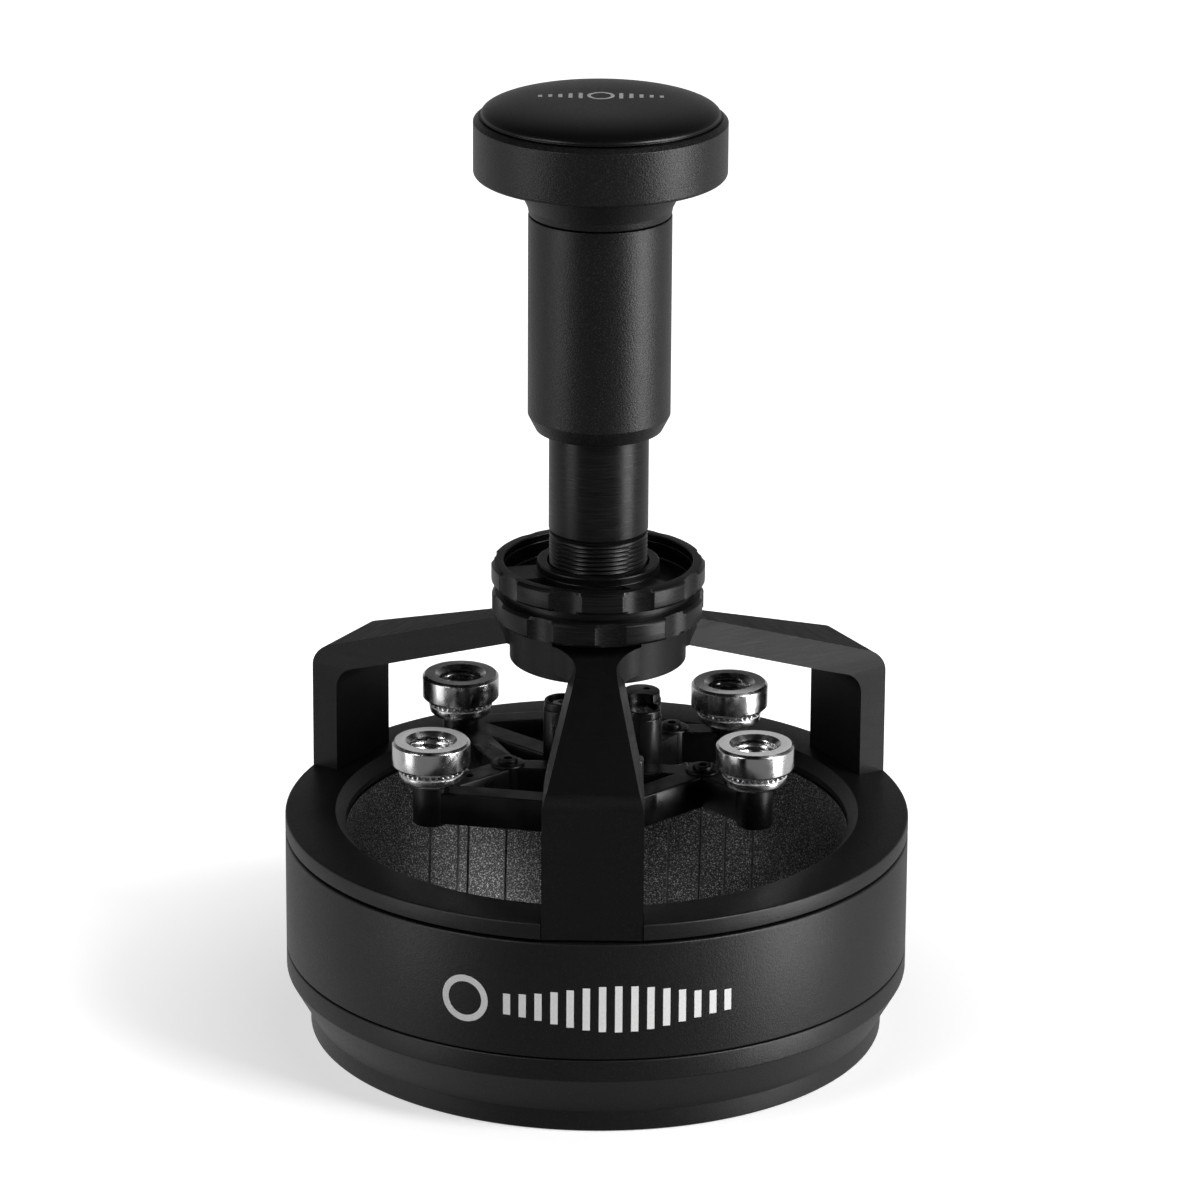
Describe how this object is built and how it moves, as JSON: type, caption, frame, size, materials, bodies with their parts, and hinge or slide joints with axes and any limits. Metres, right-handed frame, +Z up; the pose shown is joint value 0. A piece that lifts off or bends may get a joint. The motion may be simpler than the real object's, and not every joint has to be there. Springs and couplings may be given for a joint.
{
  "type": "espresso needle distribution tool",
  "caption": "Black round tool that sits on a coffee basket; pressing its knob plunges and spins a carrier of thin needles inside a ring under a three-legged arch.",
  "frame": {"origin": "centre of the flat underside of the base ring, on the turning axis", "axes": "+Z up along the turning axis, -Y towards the front leg of the arch, +X to the right seen from the front"},
  "size_m": [0.07, 0.07, 0.1073],
  "materials": {
    "black_anodised": "fine bead-blasted black anodised",
    "turned_black": "turned and milled, black anodised, with bright edges",
    "chrome": "bright plated",
    "black_plastic": "moulded, slightly glossy",
    "steel": "drawn and ground",
    "spring_steel": "drawn wire",
    "bush_polymer": "moulded acetal"
  },
  "bodies": {
    "base": {"base_ring": "black_anodised", "body_shell": "black_anodised", "top_ring": "turned_black", "arch_frame": "turned_black", "key_screw": "steel", "flange_screw_1": "steel", "flange_screw_2": "steel", "flange_screw_3": "steel", "leg_screw_1": "steel", "leg_screw_2": "steel", "leg_screw_3": "steel"},
    "depth_ring_body": {"depth_ring": "turned_black"},
    "lock_ring_body": {"lock_ring": "turned_black"},
    "stem": {"guide_tube": "turned_black", "lower_bush": "bush_polymer", "drive_nut": "steel", "return_spring": "spring_steel"},
    "handle": {"knob": "black_anodised", "knob_cap": "black_anodised", "sleeve": "black_anodised", "sleeve_bush": "bush_polymer", "bearing_outer_race": "steel"},
    "rotor": {"spindle": "steel", "spindle_screw": "steel", "bearing_inner_race": "steel", "spring_washer": "steel", "carrier": "black_plastic", "carrier_screw": "steel", "front_pin": "steel", "needle_1": "steel", "needle_2": "steel", "needle_3": "steel", "needle_4": "steel", "needle_5": "steel", "needle_6": "steel", "needle_7": "steel", "needle_8": "steel", "needle_9": "steel", "needle_nut_left_back": "chrome", "needle_nut_left_front": "chrome", "needle_nut_right_back": "chrome", "needle_nut_right_front": "chrome", "tower_screw_1": "steel", "tower_screw_2": "steel"}
  },
  "joints": [
    {"name": "stem_depth", "type": "slide", "parent": "base", "child": "stem", "axis": [0, 0, -1], "range_m": [-0.0015, 0.003]},
    {"name": "depth_ring_turn", "type": "hinge", "parent": "base", "child": "depth_ring_body", "pos_m": [0, 0, 0.0485], "axis": [0, 0, 1], "range_deg": [-1080, 2160]},
    {"name": "lock_ring_turn", "type": "hinge", "parent": "base", "child": "lock_ring_body", "pos_m": [0, 0, 0.0523], "axis": [0, 0, 1], "range_deg": [-1080, 2160]},
    {"name": "handle_press", "type": "slide", "parent": "stem", "child": "handle", "axis": [0, 0, -1], "range_m": [0, 0.012], "stiffness_N_per_m": 250, "springref_m": -0.012, "deforming": ["return_spring"]},
    {"name": "rotor_spin", "type": "hinge", "parent": "handle", "child": "rotor", "pos_m": [0, 0, 0.0933], "axis": [0, 0, -1], "range_deg": [0, 360]}
  ],
  "couplings": [
    {"joint": "depth_ring_turn", "follows": "stem_depth", "rad_per_m": 12566},
    {"joint": "lock_ring_turn", "follows": "stem_depth", "rad_per_m": 12566},
    {"joint": "rotor_spin", "follows": "handle_press", "rad_per_m": 523.6}
  ]
}
